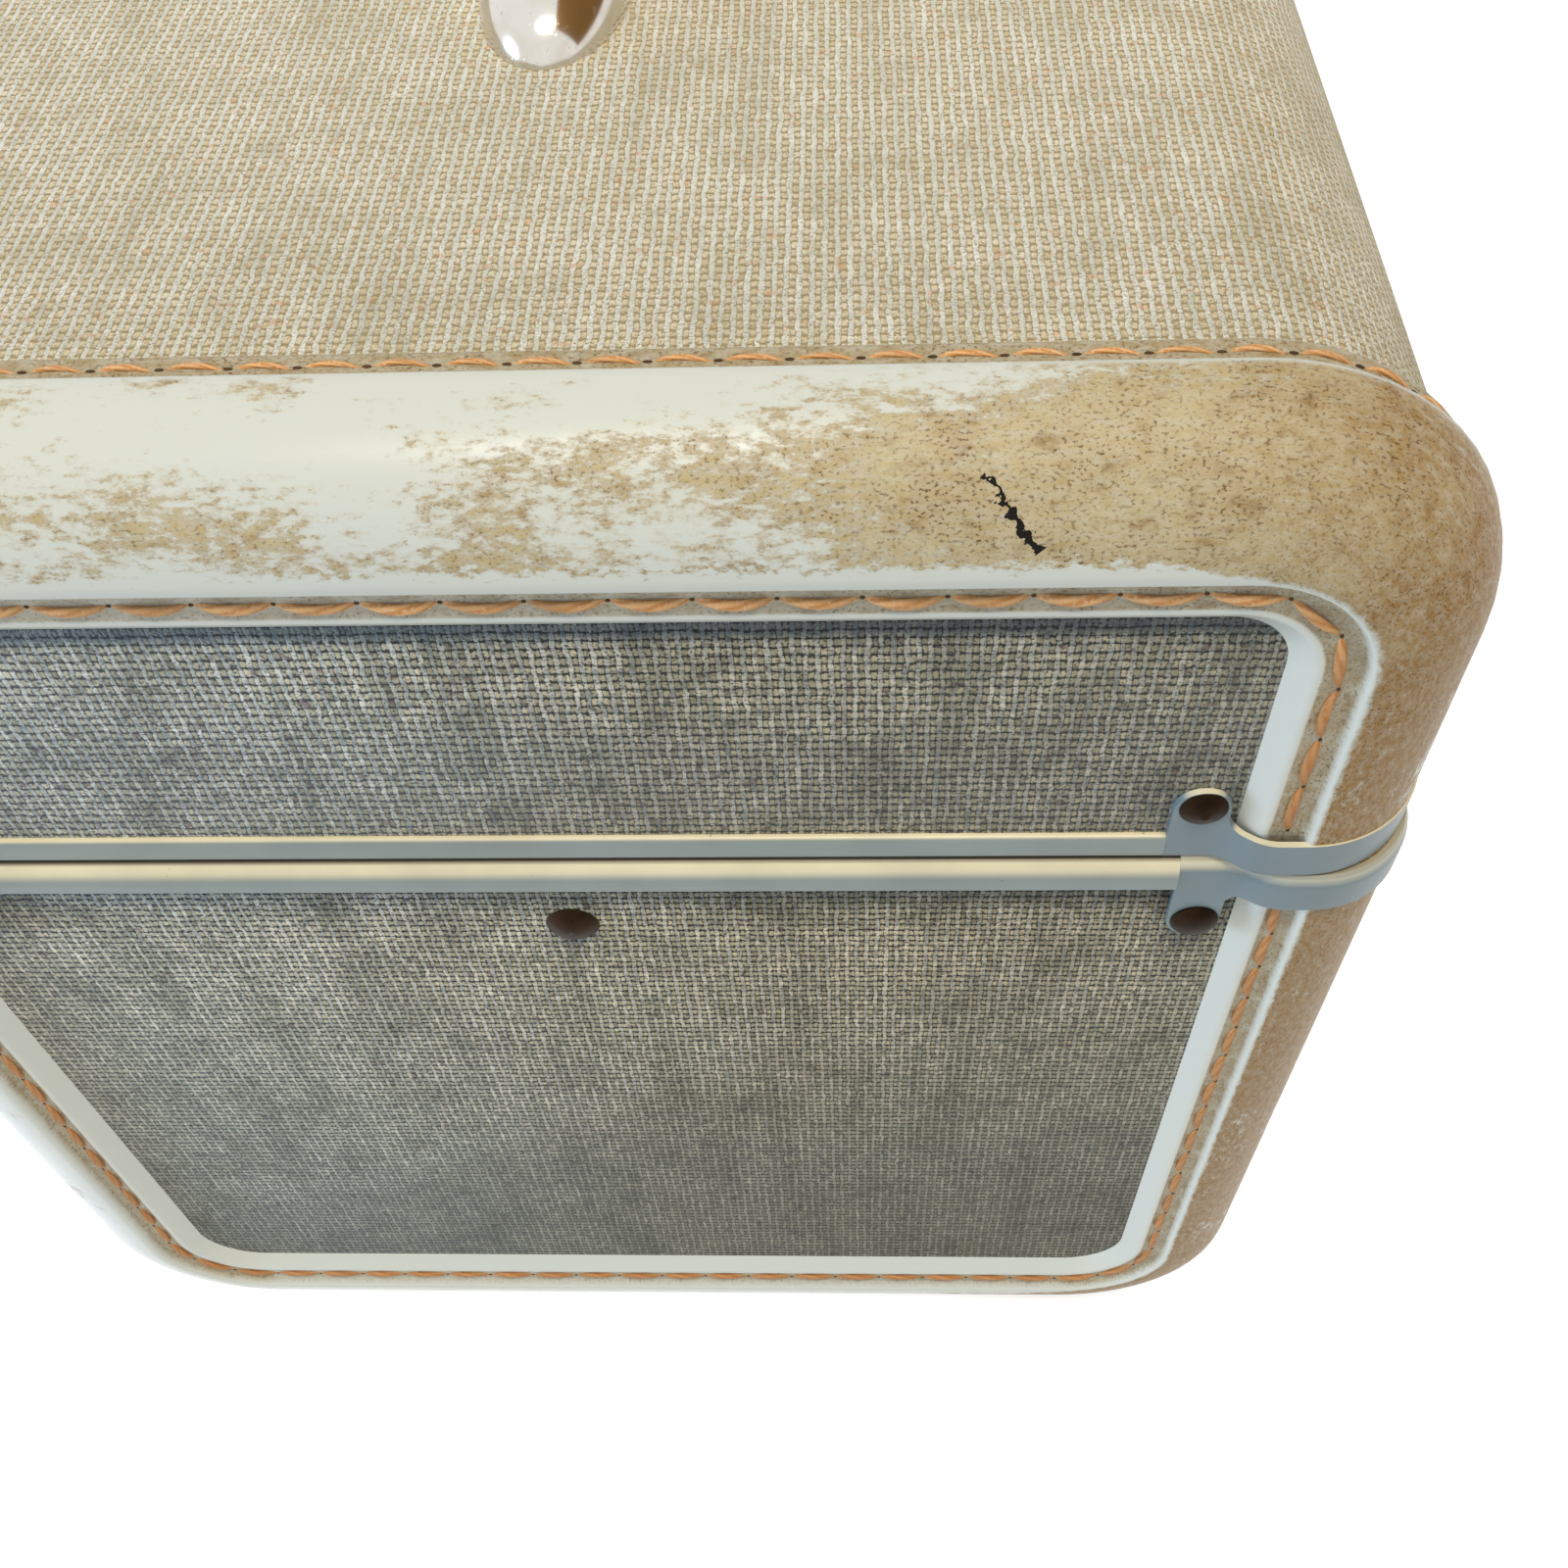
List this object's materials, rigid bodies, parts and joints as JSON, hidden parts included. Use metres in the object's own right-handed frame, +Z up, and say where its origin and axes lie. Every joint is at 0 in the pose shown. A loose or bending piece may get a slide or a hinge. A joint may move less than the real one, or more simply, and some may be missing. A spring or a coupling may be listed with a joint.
{
  "type": "hard-sided train case",
  "caption": "Board-sided cloth-covered vanity case with stitched vinyl end bindings, hinged lid held by stays, slide latches and a swinging carry handle.",
  "frame": {"origin": "on the surface the feet stand on, under the middle of the case", "axes": "+X along the length towards one end, +Y towards the hinge side, +Z up"},
  "size_m": [0.313, 0.212, 0.2231],
  "materials": {
    "tweed_cloth": "matte",
    "lining_cloth": "satin",
    "board": "matte",
    "vinyl_binding": "satin",
    "painted_band": "satin",
    "clip_metal": "satin",
    "bronze_rivet": "satin",
    "chrome": "polished",
    "steel": "satin",
    "grip_vinyl": "satin",
    "foot_nickel": "satin"
  },
  "bodies": {
    "case_body": {"body_band_back": "painted_band", "body_band_front": "painted_band", "body_binding_left": "vinyl_binding", "body_binding_right": "vinyl_binding", "body_clip_rivets": "bronze_rivet", "body_clips_left": "clip_metal", "body_clips_right": "clip_metal", "body_end_bands": "painted_band", "body_end_board_left": "board", "body_end_board_right": "board", "body_end_cloths": "tweed_cloth", "body_lining": "lining_cloth", "body_wrap_board": "board", "body_wrap_cloth": "tweed_cloth", "glide_feet": "foot_nickel", "hinge_body_leaf_left": "chrome", "hinge_body_leaf_right": "chrome", "hinge_body_rivets": "chrome", "hinge_pin_left": "steel", "hinge_pin_right": "steel", "latch_case_left": "chrome", "latch_case_right": "chrome", "latch_case_rivets": "chrome", "latch_spring_left": "steel", "latch_spring_right": "steel", "stay_stud_left": "bronze_rivet", "stay_stud_right": "bronze_rivet"},
    "lid": {"handle_mount_left": "chrome", "handle_mount_nuts": "steel", "handle_mount_right": "chrome", "hinge_lid_leaf_left": "chrome", "hinge_lid_leaf_right": "chrome", "hinge_lid_rivets": "chrome", "latch_strike_left": "chrome", "latch_strike_right": "chrome", "lid_band_back": "painted_band", "lid_band_front": "painted_band", "lid_binding_left": "vinyl_binding", "lid_binding_right": "vinyl_binding", "lid_clip_rivets": "bronze_rivet", "lid_clips_left": "clip_metal", "lid_clips_right": "clip_metal", "lid_end_bands": "painted_band", "lid_end_board_left": "board", "lid_end_board_right": "board", "lid_end_cloths": "tweed_cloth", "lid_lining": "lining_cloth", "lid_wrap_board": "board", "lid_wrap_cloth": "tweed_cloth", "stay_pivots": "bronze_rivet", "strike_rivets": "chrome"},
    "stay_left": {"stay_arm_left": "steel"},
    "stay_right": {"stay_arm_right": "steel"},
    "button_left": {"latch_button_left": "chrome"},
    "button_right": {"latch_button_right": "chrome"},
    "handle": {"handle_grip": "grip_vinyl", "handle_leg_left": "chrome", "handle_leg_right": "chrome"}
  },
  "joints": [
    {"name": "lid_hinge", "type": "hinge", "parent": "case_body", "child": "lid", "pos_m": [0, 0.103, 0.1491], "axis": [-1, 0, 0], "range_deg": [0, 95], "deforming": ["latch_spring_left", "latch_spring_right"]},
    {"name": "stay_left_pivot", "type": "hinge", "parent": "lid", "child": "stay_left", "pos_m": [0, 0.07485, 0.1587], "axis": [-1, 0, 0], "range_deg": [-95, 0]},
    {"name": "stay_right_pivot", "type": "hinge", "parent": "lid", "child": "stay_right", "pos_m": [0, 0.07485, 0.1587], "axis": [-1, 0, 0], "range_deg": [-95, 0]},
    {"name": "button_left_slide", "type": "slide", "parent": "case_body", "child": "button_left", "axis": [1, 0, 0], "range_m": [0, 0.006], "stiffness_N_per_m": 250, "deforming": ["latch_spring_left"]},
    {"name": "button_right_slide", "type": "slide", "parent": "case_body", "child": "button_right", "axis": [1, 0, 0], "range_m": [0, 0.006], "stiffness_N_per_m": 250, "deforming": ["latch_spring_right"]},
    {"name": "handle_swing", "type": "hinge", "parent": "lid", "child": "handle", "pos_m": [0, 0, 0.2133], "axis": [-1, 0, 0], "range_deg": [0, 171.9]}
  ],
  "couplings": [
    {"joint": "stay_left_pivot", "follows": "lid_hinge", "ratio": -1},
    {"joint": "stay_right_pivot", "follows": "lid_hinge", "ratio": -1}
  ]
}
